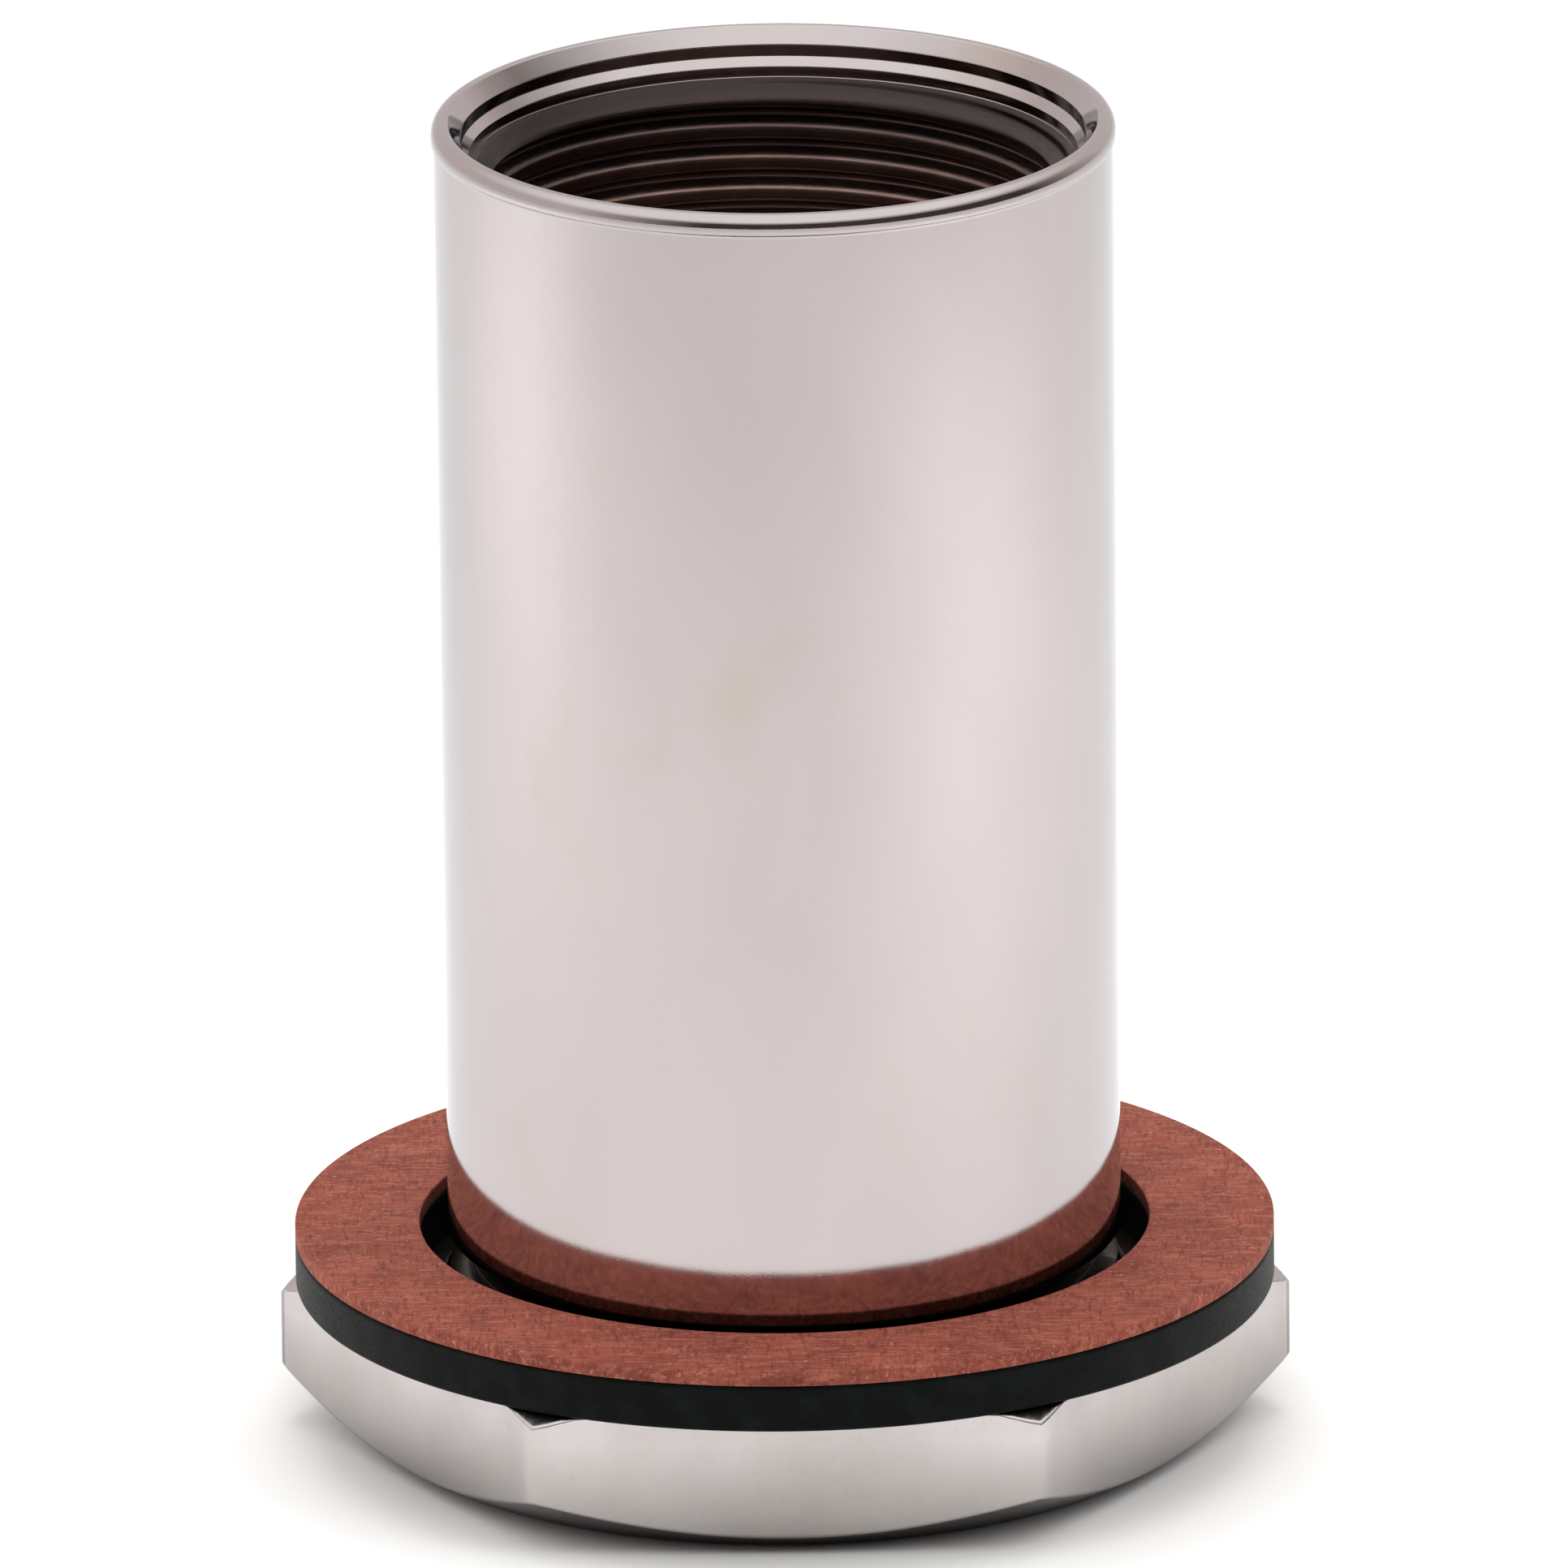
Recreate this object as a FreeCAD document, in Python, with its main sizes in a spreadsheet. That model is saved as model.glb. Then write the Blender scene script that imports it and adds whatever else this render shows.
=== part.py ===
import FreeCAD, Part
import Sketcher
import os

# A thru hull fitting: a tube with a threaded mouth, a locknut on the thread of its foot and two ring seals.
# Millimetres, +Z up, origin at the middle of the foot. Two of the locknut's flats face -Y and +Y.

SIZES = [
    # the barrel's outside
    ("height", 96.6),
    ("tube_od", 48.0),
    ("lip_proud", 0.2),
    ("lip_tall", 1.3),
    ("lip_round", 0.9),
    # its mouth: a land, a bevel and a collar, then a counterbore. Each depth runs down from the rim
    ("rim_land", 1.0),
    ("mouth_bevel", 1.2),
    ("collar_deep", 2.05),
    ("step_bevel", 0.6),
    ("counterbore_deep", 3.45),
    ("ledge", 0.4),
    # its waterway: the wall behind the mouth's thread, and the wall below it
    ("mouth_wall", 3.045),
    ("waterway_wall", 4.8),
    ("bore_bevel", 1.0),
    ("thread_deep", 28.0),
    ("entry_clear", 0.145),
    ("relief_clear", 0.345),
    ("relief_tall", 3.0),
    # both threads: eleven turns to the inch, flanks at 27.5 degrees to the radius, the depth of a full
    # thread as a share of its pitch, and how much of that depth the mouth's thread has
    ("pitch", 2.309),
    ("flank_slope", 0.52057),
    ("thread_depth", 0.640327),
    ("mouth_thread_share", 0.75),
    ("cutter_past", 0.3),
    # the foot's thread, and the undercut between it and the tube
    ("foot_step", 0.0985),
    ("foot_bevel", 1.2),
    ("undercut_clear", 0.22),
    ("undercut_tall", 2.2),
    ("undercut_above_nut", 1.9),
    # the locknut, whose flats stand nut_wall out from the tube, bevelled at 30 degrees to its faces
    ("nut_wall", 7.25),
    ("nut_tall", 10.5),
    ("nut_foot_in", 2.4),
    ("nut_top_out", 3.3),
    ("nut_bevel_slope", 0.57735),
    ("nut_crest_gap", 0.48),
    ("nut_mouth_clear", 0.55),
    ("nut_thread_gap", 0.2),
    # the ring seals: how far inside the hexagon's corners, and how far off the tube
    ("ring_inset", 1.18),
    ("ring_gap", 2.0),
    ("rubber_thick", 3.4),
    ("rubber_round", 0.3),
    ("fibre_thick", 1.0),
    ("fibre_round", 0.12),
    # how far a cutting outline reaches past what it cuts
    ("overshoot", 2.0),
]
NAMES = {alias for alias, value in SIZES}

# Radii that several features share, worked out from the sizes.
TUBE_R = "( tube_od / 2 )"
LIP_R = "( tube_od / 2 + lip_proud )"
MOUTH_R = "( tube_od / 2 - rim_land )"
MOUTH_ROOT_R = "( tube_od / 2 - mouth_wall )"
MOUTH_RIDGE = "( pitch * thread_depth * mouth_thread_share )"
MOUTH_CREST_R = f"( {MOUTH_ROOT_R} - {MOUTH_RIDGE} )"
ENTRY_R = f"( {MOUTH_ROOT_R} + entry_clear )"
COUNTERBORE_R = f"( {ENTRY_R} + ledge )"
COLLAR_R = f"( {COUNTERBORE_R} + step_bevel )"
RELIEF_R = f"( {MOUTH_ROOT_R} + relief_clear )"
BORE_R = "( tube_od / 2 - waterway_wall )"
FOOT_CREST_R = "( tube_od / 2 - foot_step )"
FOOT_RIDGE = "( pitch * thread_depth )"
FOOT_ROOT_R = f"( {FOOT_CREST_R} - {FOOT_RIDGE} )"
UNDERCUT_R = f"( {FOOT_ROOT_R} - undercut_clear )"
NUT_FLAT = "( tube_od / 2 + nut_wall )"
NUT_CORNER = f"( {NUT_FLAT} / cos( 30 deg ) )"
NUT_REACH = f"( {NUT_CORNER} + overshoot )"
NUT_FOOT_R = f"( {NUT_FLAT} - nut_foot_in )"
NUT_TOP_R = f"( {NUT_FLAT} + nut_top_out )"
NUT_CREST_R = f"( {FOOT_ROOT_R} + nut_crest_gap )"
NUT_ROOT_R = f"( {FOOT_CREST_R} + nut_thread_gap )"
NUT_MOUTH_R = f"( {FOOT_CREST_R} + nut_mouth_clear )"
RING_R = f"( {NUT_CORNER} - ring_inset )"
RING_HOLE_R = "( tube_od / 2 + ring_gap )"

# Heights that several features share.
COUNTERBORE_FOOT = "( height - counterbore_deep )"
THREAD_FOOT = "( height - thread_deep )"
CREST_TOP = f"( {COUNTERBORE_FOOT} - ( {ENTRY_R} - {MOUTH_CREST_R} ) )"
RELIEF_FOOT = f"( {THREAD_FOOT} - relief_tall )"
CONE_FOOT = f"( {RELIEF_FOOT} - ( {RELIEF_R} - {BORE_R} ) )"
UNDERCUT_FOOT = "( nut_tall + undercut_above_nut )"
UNDERCUT_TOP = f"( {UNDERCUT_FOOT} + undercut_tall )"
NUT_MOUTH_DEEP = f"( {NUT_MOUTH_R} - {NUT_CREST_R} )"
RUBBER_TOP = "( nut_tall + rubber_thick )"

doc = FreeCAD.newDocument("thru_hull_fitting")
sheet = doc.addObject("Spreadsheet::Sheet", "Sizes")
for row, (alias, value) in enumerate(SIZES, start=1):
    sheet.set("A%d" % row, alias)
    sheet.set("B%d" % row, str(value))
    sheet.setAlias("B%d" % row, alias)
doc.recompute()


def bound(text):
    """The text as an expression that reads each named size from the sheet."""
    return " ".join("Sizes." + word if word in NAMES else word for word in text.split())


def new_body(label):
    body = doc.addObject("PartDesign::Body", label)
    body.Label = label
    body.Placement = FreeCAD.Placement()
    return body


def origin_feature(body, role):
    return next(feature for feature in body.Origin.OriginFeatures if feature.Role == role)


def outline(body, name, role, corners):
    """A closed sketch of straight sides. Each corner is a pair of expressions, across and up."""
    sketch = body.newObject("Sketcher::SketchObject", name)
    sketch.AttachmentSupport = [(origin_feature(body, role), "")]
    sketch.MapMode = "FlatFace"
    count = len(corners)
    # a rough zigzag, which the constraints then pull into place
    rough = [FreeCAD.Vector(40 + i, i % 2 + 3 * i, 0) for i in range(count)]
    for i in range(count):
        sketch.addGeometry(Part.LineSegment(rough[i], rough[(i + 1) % count]), False)
    for i in range(count):
        sketch.addConstraint(Sketcher.Constraint("Coincident", i, 2, (i + 1) % count, 1))
    for i, (across, up) in enumerate(corners):
        for kind, text, start in (("DistanceX", across, rough[i].x), ("DistanceY", up, rough[i].y)):
            index = sketch.addConstraint(Sketcher.Constraint(kind, -1, 1, i, 1, start))
            sketch.setExpression("Constraints[%d]" % index, bound(text))
    doc.recompute()
    return sketch


def checked(body, feature, adds):
    """Recompute, and stop unless the feature added or removed material as it should."""
    before = feature.BaseFeature.Shape.Volume if feature.BaseFeature else 0.0
    doc.recompute()
    after = feature.Shape.Volume
    if after == before or (after > before) != adds:
        raise RuntimeError("%s on %s: %g to %g mm3" % (feature.Label, body.Label, before, after))


def turned(body, kind, name, corners):
    """A Revolution or Groove about Z of (radius, height) corners."""
    sketch = outline(body, name + "_outline", "XZ_Plane", corners)
    feature = body.newObject("PartDesign::" + kind, name)
    feature.Profile = sketch
    feature.ReferenceAxis = (origin_feature(body, "Z_Axis"), [""])
    feature.Angle = 360
    checked(body, feature, kind == "Revolution")


def thread_groove(body, name, foot, top, deep_radius, deep_half, open_radius, open_half):
    """Cut a right-handed groove whose middle climbs from foot to top, narrowest where it is deepest."""
    corners = [
        (open_radius, f"{foot} - {open_half}"),
        (deep_radius, f"{foot} - {deep_half}"),
        (deep_radius, f"{foot} + {deep_half}"),
        (open_radius, f"{foot} + {open_half}"),
    ]
    sketch = outline(body, name + "_outline", "XZ_Plane", corners)
    feature = body.newObject("PartDesign::SubtractiveHelix", name)
    feature.Profile = sketch
    feature.ReferenceAxis = (origin_feature(body, "Z_Axis"), [""])
    feature.Mode = 0
    feature.setExpression("Pitch", bound("pitch"))
    feature.setExpression("Height", bound(f"{top} - {foot}"))
    feature.Reversed = False
    # the crests stay separate faces: merged into one, they can be trimmed wrongly where the groove ends
    feature.Refine = False
    checked(body, feature, False)


def round_edges(body, name, size, chosen):
    """Round the tip's circular edges that chosen(radius, height) says yes to."""
    tip = body.Tip
    rims = []
    for index, edge in enumerate(tip.Shape.Edges, start=1):
        if isinstance(edge.Curve, Part.Circle) and chosen(edge.Curve.Radius, edge.Curve.Center.z):
            rims.append("Edge%d" % index)
    feature = body.newObject("PartDesign::Fillet", name)
    feature.Base = (tip, rims)
    feature.setExpression("Radius", bound(size))
    checked(body, feature, False)


def make_barrel():
    """The tube, turned in one piece, then its two threads cut."""
    body = new_body("threaded_barrel")
    wall = [
        (f"{BORE_R} + bore_bevel", "0"),
        (f"{FOOT_CREST_R} - foot_bevel", "0"),
        (FOOT_CREST_R, "foot_bevel"),
        (FOOT_CREST_R, UNDERCUT_FOOT),
        (UNDERCUT_R, UNDERCUT_FOOT),
        (UNDERCUT_R, UNDERCUT_TOP),
        (TUBE_R, UNDERCUT_TOP),
        (TUBE_R, "height - lip_tall - lip_proud"),
        (LIP_R, "height - lip_tall"),
        (LIP_R, "height"),
        (MOUTH_R, "height"),
        (COLLAR_R, "height - mouth_bevel"),
        (COLLAR_R, "height - collar_deep"),
        (COUNTERBORE_R, "height - collar_deep - step_bevel"),
        (COUNTERBORE_R, COUNTERBORE_FOOT),
        (ENTRY_R, COUNTERBORE_FOOT),
        (MOUTH_CREST_R, CREST_TOP),
        (MOUTH_CREST_R, THREAD_FOOT),
        (RELIEF_R, THREAD_FOOT),
        (RELIEF_R, RELIEF_FOOT),
        (BORE_R, CONE_FOOT),
        (BORE_R, "bore_bevel"),
    ]
    turned(body, "Revolution", "wall", wall)
    lip_radius = sheet.tube_od / 2 + sheet.lip_proud
    round_edges(
        body,
        "lip_rounding",
        "lip_round",
        lambda radius, level: abs(radius - lip_radius) < 1e-4 and abs(level - sheet.height) < 1e-4,
    )
    # from the middle of the relief to halfway up the counterbore, clear of both
    thread_groove(
        body,
        "mouth_thread",
        f"( {THREAD_FOOT} - relief_tall / 2 )",
        "( height - counterbore_deep / 2 )",
        MOUTH_ROOT_R,
        "pitch / 12",
        f"{MOUTH_CREST_R} - cutter_past",
        f"( pitch / 12 + ( {MOUTH_RIDGE} + cutter_past ) * flank_slope )",
    )
    # from a turn below the foot to the middle of the undercut
    thread_groove(
        body,
        "foot_thread",
        "( 0 - pitch )",
        f"( {UNDERCUT_FOOT} + undercut_tall / 2 )",
        FOOT_ROOT_R,
        "pitch / 12",
        f"{FOOT_CREST_R} + cutter_past",
        f"( pitch / 12 + ( {FOOT_RIDGE} + cutter_past ) * flank_slope )",
    )
    return body


def make_nut():
    """A hexagon bevelled above and below, bored, and threaded half a pitch out of step with the barrel."""
    body = new_body("hex_locknut")
    corners = [
        (f"{NUT_CORNER} * cos( {angle} deg )", f"{NUT_CORNER} * sin( {angle} deg )")
        for angle in range(0, 360, 60)
    ]
    sketch = outline(body, "hexagon_outline", "XY_Plane", corners)
    pad = body.newObject("PartDesign::Pad", "hexagon")
    pad.Profile = sketch
    pad.setExpression("Length", bound("nut_tall"))
    checked(body, pad, True)
    foot_bevel = [
        (NUT_FOOT_R, "0"),
        (NUT_FOOT_R, "0 - overshoot"),
        (NUT_REACH, "0 - overshoot"),
        (NUT_REACH, f"( {NUT_REACH} - {NUT_FOOT_R} ) * nut_bevel_slope"),
    ]
    turned(body, "Groove", "foot_bevel", foot_bevel)
    top_bevel = [
        (NUT_TOP_R, "nut_tall"),
        (NUT_TOP_R, "nut_tall + overshoot"),
        (NUT_REACH, "nut_tall + overshoot"),
        (NUT_REACH, f"nut_tall - ( {NUT_REACH} - {NUT_TOP_R} ) * nut_bevel_slope"),
    ]
    turned(body, "Groove", "top_bevel", top_bevel)
    hole = [
        ("0", "0 - overshoot"),
        (f"{NUT_MOUTH_R} + overshoot", "0 - overshoot"),
        (NUT_CREST_R, NUT_MOUTH_DEEP),
        (NUT_CREST_R, f"nut_tall - {NUT_MOUTH_DEEP}"),
        (f"{NUT_MOUTH_R} + overshoot", "nut_tall + overshoot"),
        ("0", "nut_tall + overshoot"),
    ]
    turned(body, "Groove", "hole", hole)
    # the groove is the barrel's ridge with the thread gap all round it
    ridge_half = f"( pitch * 5 / 12 - {FOOT_RIDGE} * flank_slope )"
    inside = f"( {NUT_CREST_R} - cutter_past )"
    thread_groove(
        body,
        "nut_thread",
        "( 0 - pitch * 3 / 2 )",
        "( nut_tall + pitch * 3 / 2 )",
        NUT_ROOT_R,
        f"( {ridge_half} + nut_thread_gap * ( 1 - flank_slope ) )",
        inside,
        f"( {ridge_half} + nut_thread_gap + ( {FOOT_CREST_R} - {inside} ) * flank_slope )",
    )
    return body


def make_ring(label, foot, top, rounding):
    """A flat ring seal with slightly rounded edges."""
    body = new_body(label)
    section = [
        (RING_HOLE_R, foot),
        (RING_R, foot),
        (RING_R, top),
        (RING_HOLE_R, top),
    ]
    turned(body, "Revolution", "section", section)
    round_edges(body, "edge_rounding", rounding, lambda radius, level: True)
    return body


def check_and_export(body):
    for feature in [*body.Group, body]:
        if "Invalid" in feature.State or "Error" in feature.State:
            raise RuntimeError("%s on %s is %s" % (feature.Label, body.Label, feature.State))
    shape = body.Shape
    if shape.isNull() or not shape.isValid() or len(shape.Solids) != 1:
        raise RuntimeError("%s isn't one valid solid" % body.Label)
    shape.exportStep("parts/%s.step" % body.Label)
    print(body.Label, round(shape.Volume, 1), "mm3")


pieces = [
    make_barrel(),
    make_nut(),
    make_ring("rubber_gasket", "nut_tall", RUBBER_TOP, "rubber_round"),
    make_ring("fibre_washer", RUBBER_TOP, f"{RUBBER_TOP} + fibre_thick", "fibre_round"),
]
doc.recompute()
os.makedirs("parts", exist_ok=True)
for piece in pieces:
    check_and_export(piece)
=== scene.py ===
import bpy
import bmesh
import math
from mathutils import Euler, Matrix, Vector


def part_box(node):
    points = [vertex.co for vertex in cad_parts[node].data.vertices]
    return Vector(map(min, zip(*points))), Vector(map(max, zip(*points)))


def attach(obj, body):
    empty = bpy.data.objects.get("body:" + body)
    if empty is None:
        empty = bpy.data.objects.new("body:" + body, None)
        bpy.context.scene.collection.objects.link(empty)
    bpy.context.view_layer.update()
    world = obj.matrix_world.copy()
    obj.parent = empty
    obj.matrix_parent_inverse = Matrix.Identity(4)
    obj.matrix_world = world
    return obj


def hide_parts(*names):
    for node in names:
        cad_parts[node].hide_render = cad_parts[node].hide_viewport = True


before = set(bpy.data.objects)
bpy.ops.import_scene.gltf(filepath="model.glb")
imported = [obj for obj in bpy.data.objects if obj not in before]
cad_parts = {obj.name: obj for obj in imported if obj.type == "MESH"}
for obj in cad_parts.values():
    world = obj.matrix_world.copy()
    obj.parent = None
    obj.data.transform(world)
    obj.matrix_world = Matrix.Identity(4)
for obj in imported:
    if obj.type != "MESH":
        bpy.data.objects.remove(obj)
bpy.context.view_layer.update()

MM = 0.001
TURN = 2 * math.pi
SEGMENTS = 240  # facets round every turned surface

# Sizes read from the frame
BARREL_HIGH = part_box("threaded_barrel")[1]
NUT_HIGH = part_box("hex_locknut")[1]
RUBBER_LOW, RUBBER_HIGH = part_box("rubber_gasket")
FIBRE_LOW, FIBRE_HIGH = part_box("fibre_washer")
RIM = BARREL_HIGH[2]
LIP_R = BARREL_HIGH[0]
NUT_TALL = NUT_HIGH[2]
HALF_FLATS = NUT_HIGH[1]
RING_R = RUBBER_HIGH[0]

# Sizes that a box can't give, as the CAD model has them. Each depth runs down from the rim
LIP_PROUD, LIP_TALL, LIP_ROUND = 0.2 * MM, 1.3 * MM, 0.9 * MM
RIM_LAND, MOUTH_BEVEL, COLLAR_DEEP = 1.0 * MM, 1.2 * MM, 2.05 * MM
STEP_BEVEL, COUNTERBORE_DEEP, LEDGE = 0.6 * MM, 3.45 * MM, 0.4 * MM
MOUTH_WALL, WATERWAY_WALL, BORE_BEVEL = 3.045 * MM, 4.8 * MM, 1.0 * MM
THREAD_DEEP, ENTRY_CLEAR = 28.0 * MM, 0.145 * MM
RELIEF_CLEAR, RELIEF_TALL = 0.345 * MM, 3.0 * MM
PITCH, FLANK_SLOPE, THREAD_DEPTH, MOUTH_THREAD_SHARE = 2.309 * MM, 0.52057, 0.640327, 0.75
FOOT_STEP, FOOT_BEVEL = 0.0985 * MM, 1.2 * MM
UNDERCUT_CLEAR, UNDERCUT_ABOVE_NUT, UNDERCUT_TALL = 0.22 * MM, 1.9 * MM, 2.2 * MM
NUT_FOOT_IN, NUT_TOP_OUT, NUT_BEVEL_SLOPE = 2.4 * MM, 3.3 * MM, 0.57735
NUT_CREST_GAP, NUT_MOUTH_CLEAR, NUT_THREAD_GAP = 0.48 * MM, 0.55 * MM, 0.2 * MM
RING_GAP, RUBBER_ROUND, FIBRE_ROUND = 2.0 * MM, 0.3 * MM, 0.12 * MM

# Radii and heights worked out from them
TUBE_R = LIP_R - LIP_PROUD
MOUTH_R = TUBE_R - RIM_LAND
MOUTH_ROOT_R = TUBE_R - MOUTH_WALL
MOUTH_CREST_R = MOUTH_ROOT_R - PITCH * THREAD_DEPTH * MOUTH_THREAD_SHARE
ENTRY_R = MOUTH_ROOT_R + ENTRY_CLEAR
COUNTERBORE_R = ENTRY_R + LEDGE
COLLAR_R = COUNTERBORE_R + STEP_BEVEL
RELIEF_R = MOUTH_ROOT_R + RELIEF_CLEAR
BORE_R = TUBE_R - WATERWAY_WALL
FOOT_CREST_R = TUBE_R - FOOT_STEP
FOOT_ROOT_R = FOOT_CREST_R - PITCH * THREAD_DEPTH
UNDERCUT_R = FOOT_ROOT_R - UNDERCUT_CLEAR
UNDERCUT_FOOT = NUT_TALL + UNDERCUT_ABOVE_NUT
UNDERCUT_TOP = UNDERCUT_FOOT + UNDERCUT_TALL
NUT_FOOT_R = HALF_FLATS - NUT_FOOT_IN
NUT_TOP_R = HALF_FLATS + NUT_TOP_OUT
NUT_CREST_R = FOOT_ROOT_R + NUT_CREST_GAP
NUT_ROOT_R = FOOT_CREST_R + NUT_THREAD_GAP
NUT_MOUTH_R = FOOT_CREST_R + NUT_MOUTH_CLEAR
RING_HOLE_R = TUBE_R + RING_GAP
ROOT_HALF = PITCH / 12


# ---------------------------------------------------------------- mesh building

def rounded(corners):
    """The (radius, height, rounding) corners with each rounding as an arc."""
    points = []
    count = len(corners)
    for i, (r, z, size) in enumerate(corners):
        here = Vector((r, z))
        if not size:
            points.append((r, z))
            continue
        back = (Vector(corners[i - 1][:2]) - here).normalized()
        on = (Vector(corners[(i + 1) % count][:2]) - here).normalized()
        half = back.angle(on) / 2
        middle = here + (back + on).normalized() * size / math.sin(half)
        start = here + back * size / math.tan(half) - middle
        end = here + on * size / math.tan(half) - middle
        sweep = start.angle_signed(end)
        steps = 4
        for step in range(steps + 1):
            a = -sweep * step / steps
            spoke = Vector((start.x * math.cos(a) - start.y * math.sin(a),
                            start.x * math.sin(a) + start.y * math.cos(a)))
            points.append(tuple(middle + spoke))
    return points


def plain_row(r, z):
    return [(r, z)] * (SEGMENTS + 1)


def thread_rows(low, high, middle, root_r, root_half, crest_r, limit):
    """Rows of a right-handed thread between two heights.

    middle is the height of a groove's middle at angle 0. limit(z, r) keeps a radius within the bevels.
    """
    open_half = root_half + abs(crest_r - root_r) * FLANK_SLOPE
    soft = 0.07 * MM
    outline = [
        (-open_half - soft, crest_r),
        (-open_half + soft, crest_r + (root_r - crest_r) * 0.06),
        (-(open_half + root_half) / 2, (crest_r + root_r) / 2),
        (-root_half - soft, root_r + (crest_r - root_r) * 0.10),
        (-root_half + soft, root_r),
    ]
    outline += [(-at, r) for at, r in reversed(outline)]
    outline.append((PITCH / 2, crest_r))

    def radius(at):
        at = (at + PITCH / 2) % PITCH - PITCH / 2
        before = (-PITCH / 2, crest_r)
        for after in outline:
            if at <= after[0]:
                share = (at - before[0]) / max(after[0] - before[0], 1e-9)
                return before[1] + (after[1] - before[1]) * share
            before = after
        return crest_r

    rows = []
    turns = math.ceil((high - low) / PITCH) + 2
    first = math.floor((low - middle) / PITCH) - 1
    for turn in range(first, first + turns + 1):
        for at, _ in outline:
            row = []
            for i in range(SEGMENTS + 1):
                climb = PITCH * i / SEGMENTS
                z = min(max(middle + turn * PITCH + at + climb, low), high)
                row.append((limit(z, radius(z - middle - climb)), z))
            rows.append(row)
    return rows


def spun(name, rows, body, node):
    """A closed mesh that replaces a CAD node and rides its body.

    It is made of rows of (radius, height) round Z, the last joined to the first.
    """
    bm = bmesh.new()
    grid = []
    for row in rows:
        line = []
        for i, (r, z) in enumerate(row):
            a = TURN * i / SEGMENTS
            line.append(bm.verts.new((r * math.cos(a), r * math.sin(a), z)))
        grid.append(line)
    for j, line in enumerate(grid):
        following = grid[(j + 1) % len(grid)]
        for i in range(SEGMENTS):
            bm.faces.new((line[i], line[i + 1], following[i + 1], following[i]))
    bmesh.ops.remove_doubles(bm, verts=bm.verts, dist=2e-6)
    bmesh.ops.dissolve_degenerate(bm, edges=bm.edges, dist=1e-7)
    bmesh.ops.recalc_face_normals(bm, faces=bm.faces)
    for face in bm.faces:
        face.smooth = True
    mesh = bpy.data.meshes.new(name)
    bm.to_mesh(mesh)
    bm.free()
    piece = bpy.data.objects.new(name, mesh)
    bpy.context.scene.collection.objects.link(piece)
    weigh = piece.modifiers.new("weighted_normals", "WEIGHTED_NORMAL")
    weigh.weight = 80
    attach(piece, body)
    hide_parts(node)
    return piece


def barrel_rows():
    """The tube's outside, its stepped mouth, the waterway and both threads."""
    thread_foot = RIM - THREAD_DEEP
    relief_foot = thread_foot - RELIEF_TALL
    floor = RIM - COUNTERBORE_DEEP
    lip_foot = RIM - LIP_TALL
    # each outline's first and last corners only lead into the threads, and are then dropped
    above = rounded([
        (FOOT_CREST_R, UNDERCUT_FOOT, 0),
        (UNDERCUT_R, UNDERCUT_FOOT, 0.1 * MM),
        (UNDERCUT_R, UNDERCUT_TOP, 0.1 * MM),
        (TUBE_R, UNDERCUT_TOP, 0.15 * MM),
        (TUBE_R, lip_foot - (LIP_R - TUBE_R), 0.3 * MM),
        (LIP_R, lip_foot, 0.2 * MM),
        (LIP_R, RIM, LIP_ROUND),
        (MOUTH_R, RIM, 0.2 * MM),
        (COLLAR_R, RIM - MOUTH_BEVEL, 0.2 * MM),
        (COLLAR_R, RIM - COLLAR_DEEP, 0.1 * MM),
        (COUNTERBORE_R, RIM - COLLAR_DEEP - STEP_BEVEL, 0.15 * MM),
        (COUNTERBORE_R, floor, 0.12 * MM),
        (ENTRY_R, floor, 0.12 * MM),
        (ENTRY_R - 0.2 * MM, floor - 0.2 * MM, 0),
    ])[1:-1]
    below = rounded([
        (MOUTH_CREST_R, thread_foot, 0),
        (RELIEF_R, thread_foot, 0.1 * MM),
        (RELIEF_R, relief_foot, 0.3 * MM),
        (BORE_R, relief_foot - (RELIEF_R - BORE_R), 0.3 * MM),
        (BORE_R, BORE_BEVEL, 0.1 * MM),
        (BORE_R + BORE_BEVEL, 0, 0.1 * MM),
        (FOOT_CREST_R - FOOT_BEVEL, 0, 0.1 * MM),
        (FOOT_CREST_R, FOOT_BEVEL, 0),
    ])[1:-1]

    def foot_limit(z, r):
        return min(r, FOOT_CREST_R - FOOT_BEVEL + z)

    def mouth_limit(z, r):
        return max(r, ENTRY_R - (floor - z))

    foot = thread_rows(0.1 * MM, UNDERCUT_FOOT, 0, FOOT_ROOT_R, ROOT_HALF, FOOT_CREST_R, foot_limit)
    mouth = thread_rows(thread_foot, floor - 0.1 * MM, thread_foot - RELIEF_TALL / 2,
                        MOUTH_ROOT_R, ROOT_HALF, MOUTH_CREST_R, mouth_limit)
    rows = foot
    rows += [plain_row(r, z) for r, z in above]
    rows += reversed(mouth)
    rows += [plain_row(r, z) for r, z in below]
    return rows


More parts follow.
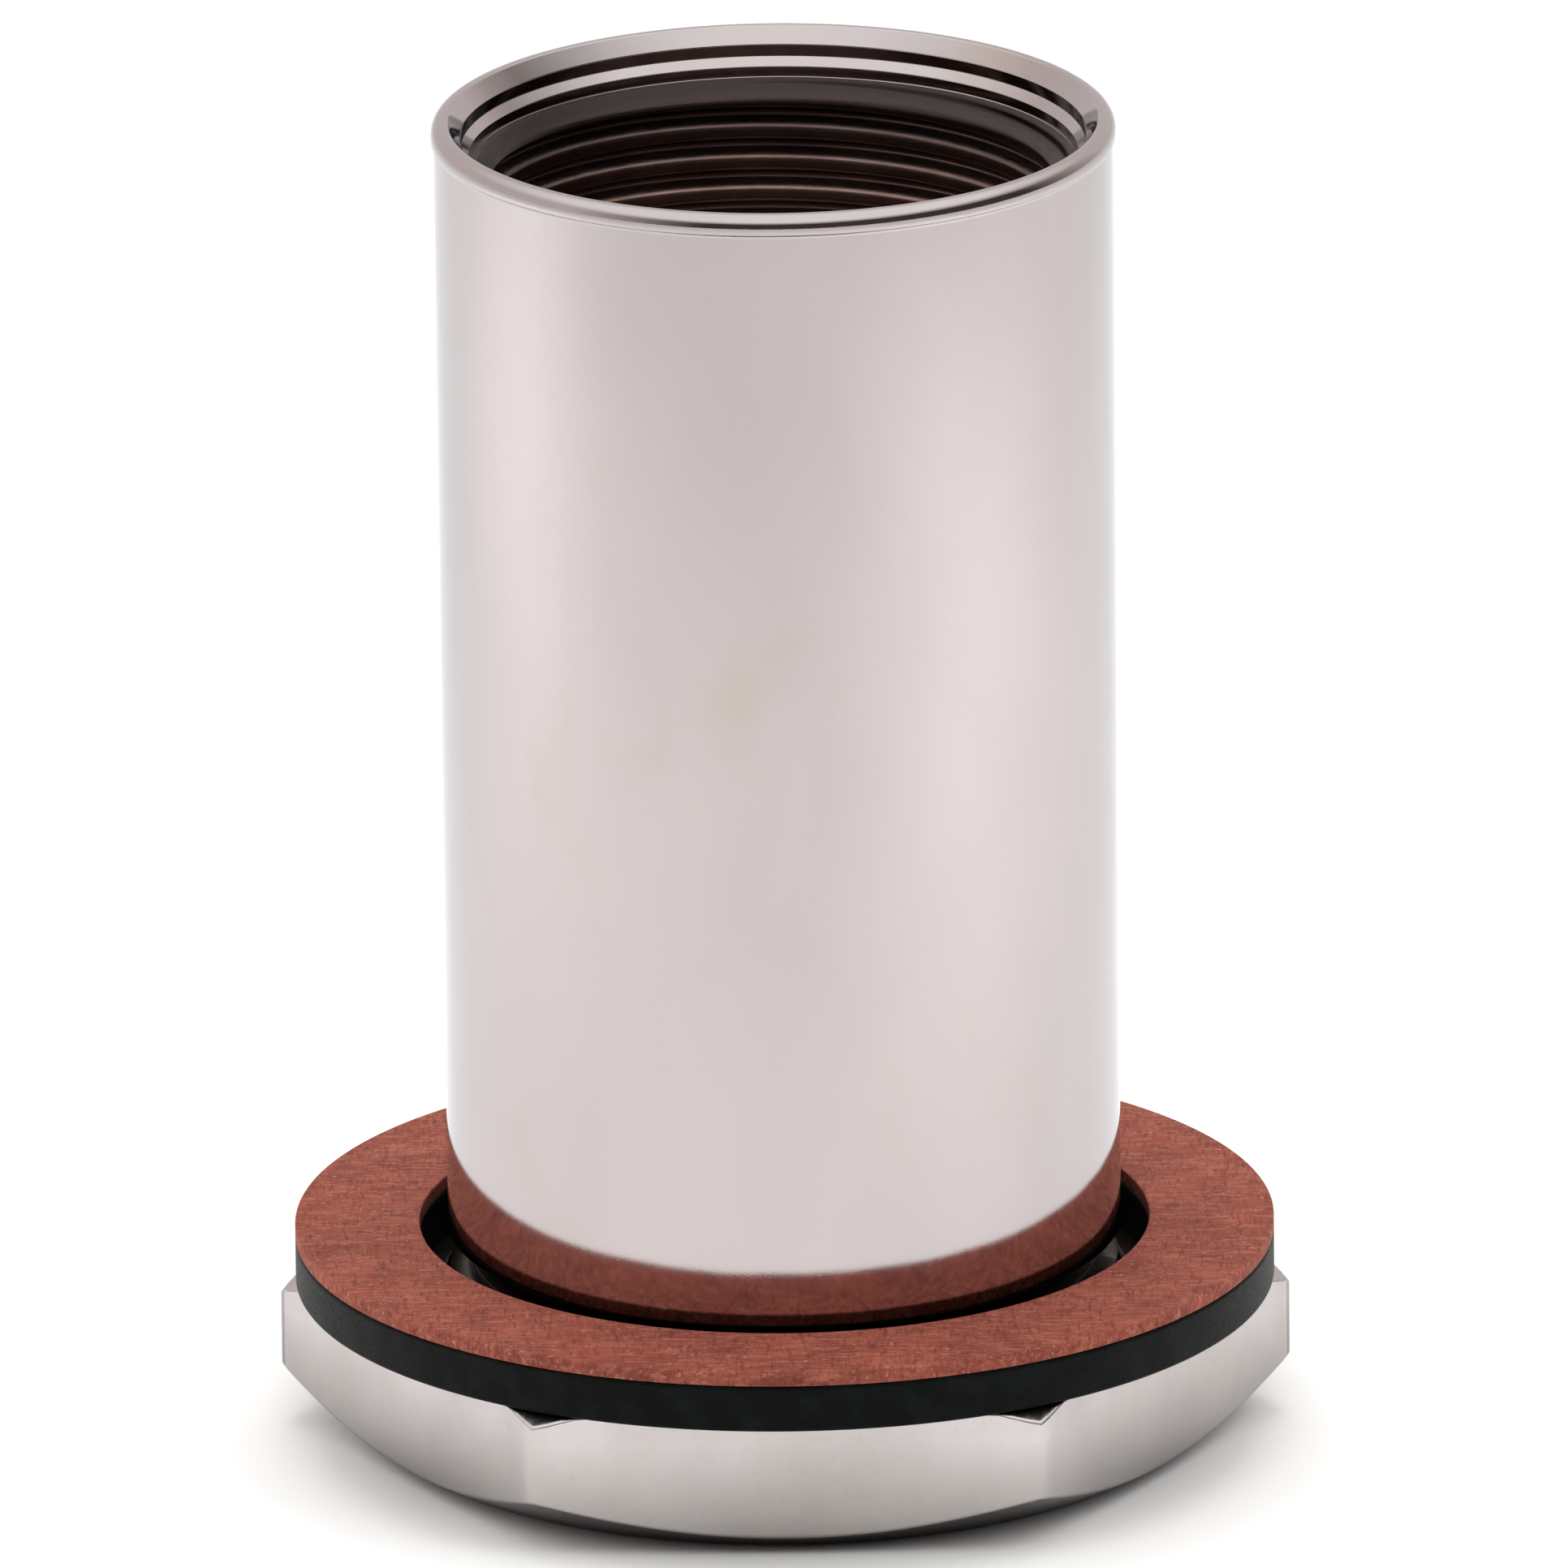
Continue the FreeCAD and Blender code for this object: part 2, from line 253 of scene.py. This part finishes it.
def nut_rows():
    """The nut's outside as far out as its flats allow at each angle, then its threaded hole."""
    edge = 0.25 * MM
    blunted = 0.12 * MM
    corner_r = HALF_FLATS / math.cos(TURN / 12)

    def flats(a):
        """Distance out to the hexagon at an angle, its corners rounded a little."""
        off_corner = (a + TURN / 12) % (TURN / 6) - TURN / 12
        sharp = HALF_FLATS / math.cos(TURN / 12 - abs(off_corner))
        blunt = (corner_r - blunted) / math.cos(off_corner)
        return min(sharp, blunt)

    outside = [flats(TURN * i / SEGMENTS) for i in range(SEGMENTS + 1)]
    rows = []

    def row(rise):
        rows.append([rise(r) for r in outside])

    def foot_bevel(r):
        return max(r - NUT_FOOT_R, 0) * NUT_BEVEL_SLOPE

    def top_bevel(r):
        return NUT_TALL - max(r - NUT_TOP_R, 0) * NUT_BEVEL_SLOPE

    rows += [plain_row(NUT_MOUTH_R + 0.1 * MM, 0), plain_row(NUT_FOOT_R - edge, 0)]
    row(lambda r: (NUT_FOOT_R + edge, foot_bevel(NUT_FOOT_R + edge)))
    for share in (0.25, 0.5, 0.75):
        def part_way(r):
            return NUT_FOOT_R + edge + (r - edge - NUT_FOOT_R - edge) * share

        row(lambda r: (part_way(r), foot_bevel(part_way(r))))
    row(lambda r: (r - edge, foot_bevel(r - edge)))
    row(lambda r: (r - edge * 0.25, foot_bevel(r) - edge * 0.1))
    row(lambda r: (r, foot_bevel(r) + edge * 0.6))
    row(lambda r: (r, top_bevel(r) - edge * 0.6))
    row(lambda r: (r - edge * 0.3, top_bevel(r) - edge * 0.1))
    row(lambda r: (r - edge, top_bevel(r - edge)))
    row(lambda r: (min(r - edge, NUT_TOP_R) - edge, NUT_TALL))
    rows.append(plain_row(RING_HOLE_R + 1.0 * MM, NUT_TALL))
    rows.append(plain_row(NUT_MOUTH_R + 0.1 * MM, NUT_TALL))

    def limit(z, r):
        return max(r, NUT_MOUTH_R - z, NUT_MOUTH_R - (NUT_TALL - z))

    ridge_half = PITCH / 2 - ROOT_HALF - (FOOT_CREST_R - FOOT_ROOT_R) * FLANK_SLOPE
    root_half = ridge_half + NUT_THREAD_GAP * (1 - FLANK_SLOPE)
    hole = thread_rows(0, NUT_TALL, PITCH / 2, NUT_ROOT_R, root_half, NUT_CREST_R, limit)
    rows += reversed(hole)
    return rows


def ring_rows(low, high, rounding):
    section = rounded([
        (RING_HOLE_R, low, rounding),
        (RING_R, low, rounding),
        (RING_R, high, rounding),
        (RING_HOLE_R, high, rounding),
    ])
    return [plain_row(r, z) for r, z in section]


# ---------------------------------------------------------------- materials

class Nodes:
    """The node tree of a new material or world, with short calls to add and join nodes."""

    def __init__(self, owner, shader="Principled BSDF", place="Object"):
        owner.use_nodes = True
        self.owner = owner
        self.tree = owner.node_tree
        self.shader = self.tree.nodes[shader]
        self.place = self.add("ShaderNodeTexCoord").outputs[place]

    def add(self, kind, **inputs):
        node = self.tree.nodes.new(kind)
        for name, value in inputs.items():
            self.feed(node.inputs[name.replace("_", " ")], value)
        return node

    def feed(self, socket, value):
        if isinstance(value, bpy.types.NodeSocket):
            self.tree.links.new(value, socket)
        else:
            socket.default_value = value

    def noise(self, scale, stretch=(1, 1, 1), detail=4.0, rough=0.55):
        """Noise of so many cells a millimetre, stretched along the axes."""
        mapping = self.add("ShaderNodeMapping", Vector=self.place)
        mapping.inputs["Scale"].default_value = [1 / MM * s for s in stretch]
        texture = self.add("ShaderNodeTexNoise", Vector=mapping.outputs["Vector"], Scale=scale,
                           Detail=detail, Roughness=rough)
        return texture.outputs["Fac"]

    def ramp(self, factor, low, high, start=0.3, end=0.7):
        """A blend from one value or colour to another as the factor goes from start to end."""
        colours = not isinstance(low, (int, float))
        node = self.tree.nodes.new("ShaderNodeMapRange")
        node.data_type = "FLOAT_VECTOR" if colours else "FLOAT"
        vector = [socket for socket in node.inputs if socket.enabled]
        values = [factor, start, end, low, high]
        if colours:
            self.feed(vector[0], factor)
            for socket, value in zip(vector[1:3], ([start] * 3, [end] * 3)):
                socket.default_value = value
            for socket, value in zip(vector[3:5], (low, high)):
                socket.default_value = value[:3]
        else:
            for socket, value in zip(vector, values):
                self.feed(socket, value)
        return next(socket for socket in node.outputs if socket.enabled)

    def along(self, direction):
        """How far the place lies along a direction."""
        node = self.tree.nodes.new("ShaderNodeVectorMath")
        node.operation = "DOT_PRODUCT"
        self.feed(node.inputs[0], self.place)
        self.feed(node.inputs[1], direction)
        return node.outputs["Value"]

    def mix(self, factor, one, other):
        node = self.tree.nodes.new("ShaderNodeMix")
        node.data_type = "RGBA"
        self.feed(node.inputs["Factor"], factor)
        colours = [socket for socket in node.inputs if socket.type == "RGBA"]
        self.feed(colours[0], one)
        self.feed(colours[1], other)
        return next(socket for socket in node.outputs if socket.type == "RGBA")

    def bump(self, height, depth, under=None):
        node = self.add("ShaderNodeBump", Height=height, Distance=depth, Strength=1.0)
        if under:
            self.feed(node.inputs["Normal"], under)
        return node.outputs["Normal"]

    def finish(self, **inputs):
        for name, value in inputs.items():
            self.feed(self.shader.inputs[name.replace("_", " ")], value)
        return self.owner


def material_nodes(name):
    return Nodes(bpy.data.materials.new(name))


def polished_chrome():
    """Chrome on a turned tube: faintly cloudy, with hairlines round it and a few warm stains."""
    n = material_nodes("polished_chrome")
    cloud = n.ramp(n.noise(0.045, (1, 1, 0.45), detail=3.0), 0.0, 1.0, 0.35, 0.65)
    colour = n.mix(cloud, (0.535, 0.479, 0.476, 1), (0.478, 0.433, 0.437, 1))
    stain = n.ramp(n.noise(0.11, (1, 1, 0.6), detail=4.0), 0.0, 0.55, 0.60, 0.74)
    colour = n.mix(stain, colour, (0.49, 0.415, 0.355, 1))
    fine = n.noise(5.0, (1, 1, 3))
    colour = n.mix(n.ramp(fine, 0.0, 0.35), colour, (0.56, 0.515, 0.52, 1))
    wave = n.bump(n.noise(0.09, (1, 1, 0.5), detail=2.0), 0.00006)
    return n.finish(Base_Color=colour, Metallic=1.0, Specular_Tint=(0.88, 0.91, 0.93, 1),
                    Roughness=n.ramp(fine, 0.05, 0.11), Normal=n.bump(fine, 0.000001, under=wave))


def thread_brass():
    """The dark brass that the plating doesn't reach: the waterway and both threads."""
    n = material_nodes("thread_brass")
    lines = n.noise(3.0, (0.25, 0.25, 6))
    tone_and_shade = n.ramp(n.noise(0.25, detail=4.0), 0.0, 1.0)
    colour = n.mix(tone_and_shade, (0.34, 0.23, 0.20, 1), (0.24, 0.155, 0.135, 1))
    # blackened towards the mouth; on the counterbore's ledge this darkness is painted shade
    black = n.ramp(n.along((0, 0, 1)), 0.0, 1.0, RIM - 12 * MM, RIM - 4 * MM)
    colour = n.mix(black, colour, (0.050, 0.040, 0.040, 1))
    # and painted shade at the foot, in the gap under the rings
    painted_low_shade = n.ramp(n.along((0, 0, 1)), 0.9, 0.0, 16 * MM, 20 * MM)
    colour = n.mix(painted_low_shade, colour, (0.022, 0.017, 0.015, 1))
    return n.finish(Base_Color=colour, Metallic=1.0, Roughness=n.ramp(lines, 0.26, 0.42),
                    Normal=n.bump(lines, 0.000006))


def satin_chrome():
    """Chrome over a rough forging: blotchy and pitted, with painted shade darkening it towards the foot and
    a painted shadow along the bottom bevel.
    """
    n = material_nodes("satin_chrome")
    blotch = n.ramp(n.noise(0.10, detail=5.0), 0.0, 1.0, 0.35, 0.65)
    grain = n.noise(2.2, detail=6.0, rough=0.65)
    colour = n.mix(blotch, (0.605, 0.567, 0.563, 1), (0.50, 0.467, 0.458, 1))
    warm = n.ramp(n.noise(0.22, detail=4.0), 0.0, 0.5, 0.52, 0.70)
    colour = n.mix(warm, colour, (0.58, 0.505, 0.455, 1))
    # painted shade: the flats darken towards the foot
    tone_and_shade = n.ramp(n.along((0, 0, 1)), 1.0, 0.0, 0.0, NUT_TALL * 0.8)
    colour = n.mix(tone_and_shade, colour, (0.28, 0.26, 0.245, 1))
    # painted shadow: near black along the bottom bevel, where the nut meets the floor
    painted_low_shade = n.ramp(n.along((0, 0, 1)), 0.92, 0.0, 0.5 * MM, 1.7 * MM)
    colour = n.mix(painted_low_shade, colour, (0.03, 0.027, 0.025, 1))
    return n.finish(Base_Color=colour, Metallic=1.0, Specular_Tint=(0.85, 0.86, 0.88, 1),
                    Roughness=n.ramp(grain, 0.16, 0.28), Normal=n.bump(grain, 0.000012))


def black_rubber():
    """Moulded rubber, faintly dusty in patches."""
    n = material_nodes("black_rubber")
    grain = n.noise(5.0, detail=5.0)
    dust = n.ramp(n.noise(0.5, detail=6.0), 0.0, 1.0, 0.45, 0.75)
    colour = n.mix(dust, (0.0020, 0.0032, 0.0028, 1), (0.0065, 0.0085, 0.0085, 1))
    return n.finish(Base_Color=colour, Specular_IOR_Level=0.08, Roughness=n.ramp(grain, 0.40, 0.58),
                    Normal=n.bump(grain, 0.00003))


def red_fibre():
    """Vulcanised fibre board: pressed paper, with short strands lying both ways and pale and dark flecks."""
    n = material_nodes("red_fibre")
    blotch = n.ramp(n.noise(0.22, detail=5.0), 0.0, 1.0, 0.35, 0.65)
    along = n.noise(1.5, (0.28, 2.0, 1), detail=6.0, rough=0.75)
    across = n.noise(1.7, (2.0, 0.35, 1), detail=6.0, rough=0.75)
    flecks = n.noise(2.6, detail=3.0, rough=0.6)
    base = n.mix(blotch, (0.320, 0.078, 0.050, 1), (0.225, 0.052, 0.037, 1))
    base = n.mix(n.ramp(along, 0.0, 0.75, 0.48, 0.62), base, (0.47, 0.155, 0.095, 1))
    base = n.mix(n.ramp(across, 0.0, 0.75, 0.50, 0.64), base, (0.12, 0.027, 0.023, 1))
    base = n.mix(n.ramp(flecks, 0.0, 0.6, 0.60, 0.70), base, (0.52, 0.27, 0.19, 1))
    fuzz = n.bump(n.noise(3.5, detail=6.0, rough=0.7), 0.00005)
    return n.finish(Base_Color=base, Specular_IOR_Level=0.25, Roughness=0.75,
                    Normal=n.bump(along, 0.00005, under=fuzz))


def paint(piece, material):
    piece.data.materials.append(material)


def paint_inside(piece, material, inside):
    """A second material, on the faces that inside(radius, height) says yes to."""
    piece.data.materials.append(material)
    for face in piece.data.polygons:
        x, y, z = face.center
        if inside(math.hypot(x, y), z):
            face.material_index = 1


# ---------------------------------------------------------------- stage, light and camera

def make_floor():
    bpy.ops.mesh.primitive_plane_add(size=6.0, location=(0, 0, 0))
    floor = bpy.context.object
    floor.name = "floor"
    n = material_nodes("floor_paper")
    tone = n.mix(n.noise(0.02), (0.965, 0.965, 0.965, 1), (0.95, 0.95, 0.95, 1))
    floor.data.materials.append(n.finish(Base_Color=tone, Roughness=0.9))


def soft_box(name, azimuth, out, up, size, power):
    """A square area light that faces the object's foot. Azimuth 0 is in front, 90 to the right."""
    a = math.radians(azimuth)
    light = bpy.data.lights.new(name, "AREA")
    light.size = size
    light.energy = power
    lamp = bpy.data.objects.new(name, light)
    lamp.location = (math.sin(a) * out, -math.cos(a) * out, up)
    lamp.rotation_euler = lamp.location.to_track_quat("Z", "Y").to_euler()
    # the metal mirrors the studio's sky, not the lamps
    lamp.visible_glossy = False
    lamp.visible_camera = False
    bpy.context.scene.collection.objects.link(lamp)


def make_sky():
    """The studio round the object: bright overhead, pale and warm low behind, and dark low in front."""
    n = Nodes(bpy.data.worlds.new("studio"), "Background", "Generated")
    dark_side = math.radians(35)
    ahead = n.ramp(n.along((math.sin(dark_side), -math.cos(dark_side), 0)), 0.0, 1.0, -0.3, 0.5)
    low = n.ramp(n.along((0, 0, 1)), 1.0, 0.0, math.sin(math.radians(28)), math.sin(math.radians(54)))
    around = n.mix(ahead, (0.80, 0.73, 0.70, 1), (0.07, 0.06, 0.055, 1))
    sky = n.mix(low, (1.26, 1.255, 1.235, 1), around)
    bpy.context.scene.world = n.finish(Color=sky, Strength=1.0)


def make_lights():
    make_sky()
    soft_box("overhead", 180, 0.10, 0.60, 0.30, 1.1)
    soft_box("right", 66, 0.24, 0.18, 0.20, 0.25)
    soft_box("left", -92, 0.33, 0.17, 0.20, 0.28)


def make_camera():
    elevation, roll = math.radians(17.9), math.radians(0.6)
    distance, seen = 2.4, 111.35 * MM
    target = Vector((0.29 * MM, 0, 47.2 * MM))
    camera = bpy.data.cameras.new("camera")
    camera.lens = camera.sensor_width * distance / seen
    eye = bpy.data.objects.new("camera", camera)
    eye.location = target + Vector((0, -math.cos(elevation), math.sin(elevation))) * distance
    eye.rotation_euler = Euler((math.radians(90) - elevation, 0, 0)).to_matrix().to_euler()
    eye.rotation_euler.rotate_axis("Z", -roll)
    bpy.context.scene.collection.objects.link(eye)
    bpy.context.scene.camera = eye


def brass_and_shade_on_barrel(r, z):
    """Where the barrel isn't plated: inside the counterbore, and below the top of the undercut; there the
    brass paints shade on the counterbore's ledge and below the rings.
    """
    return r < COUNTERBORE_R - 0.05 * MM or z < UNDERCUT_TOP - 0.02 * MM


def brass_and_shade_on_nut(r, z):
    """Where the nut takes the brass: bare in its hole, and on its top inside the rings as painted shade in
    the gap under them.
    """
    return r < NUT_MOUTH_R + 0.2 * MM or (r < RING_HOLE_R and z > NUT_TALL / 2)


def main():
    brass = thread_brass()
    barrel = spun("chromed_barrel", barrel_rows(), "barrel", "threaded_barrel")
    paint(barrel, polished_chrome())
    paint_inside(barrel, brass, brass_and_shade_on_barrel)
    nut = spun("satin_locknut", nut_rows(), "nut", "hex_locknut")
    paint(nut, satin_chrome())
    paint_inside(nut, brass, brass_and_shade_on_nut)
    rubber = ring_rows(RUBBER_LOW[2], RUBBER_HIGH[2], RUBBER_ROUND)
    gasket = spun("rubber_ring", rubber, "gasket", "rubber_gasket")
    paint(gasket, black_rubber())
    fibre = ring_rows(FIBRE_LOW[2], FIBRE_HIGH[2], FIBRE_ROUND)
    washer = spun("fibre_ring", fibre, "washer", "fibre_washer")
    paint(washer, red_fibre())
    make_floor()
    make_lights()
    make_camera()
    bpy.context.scene.view_settings.view_transform = "Standard"


main()
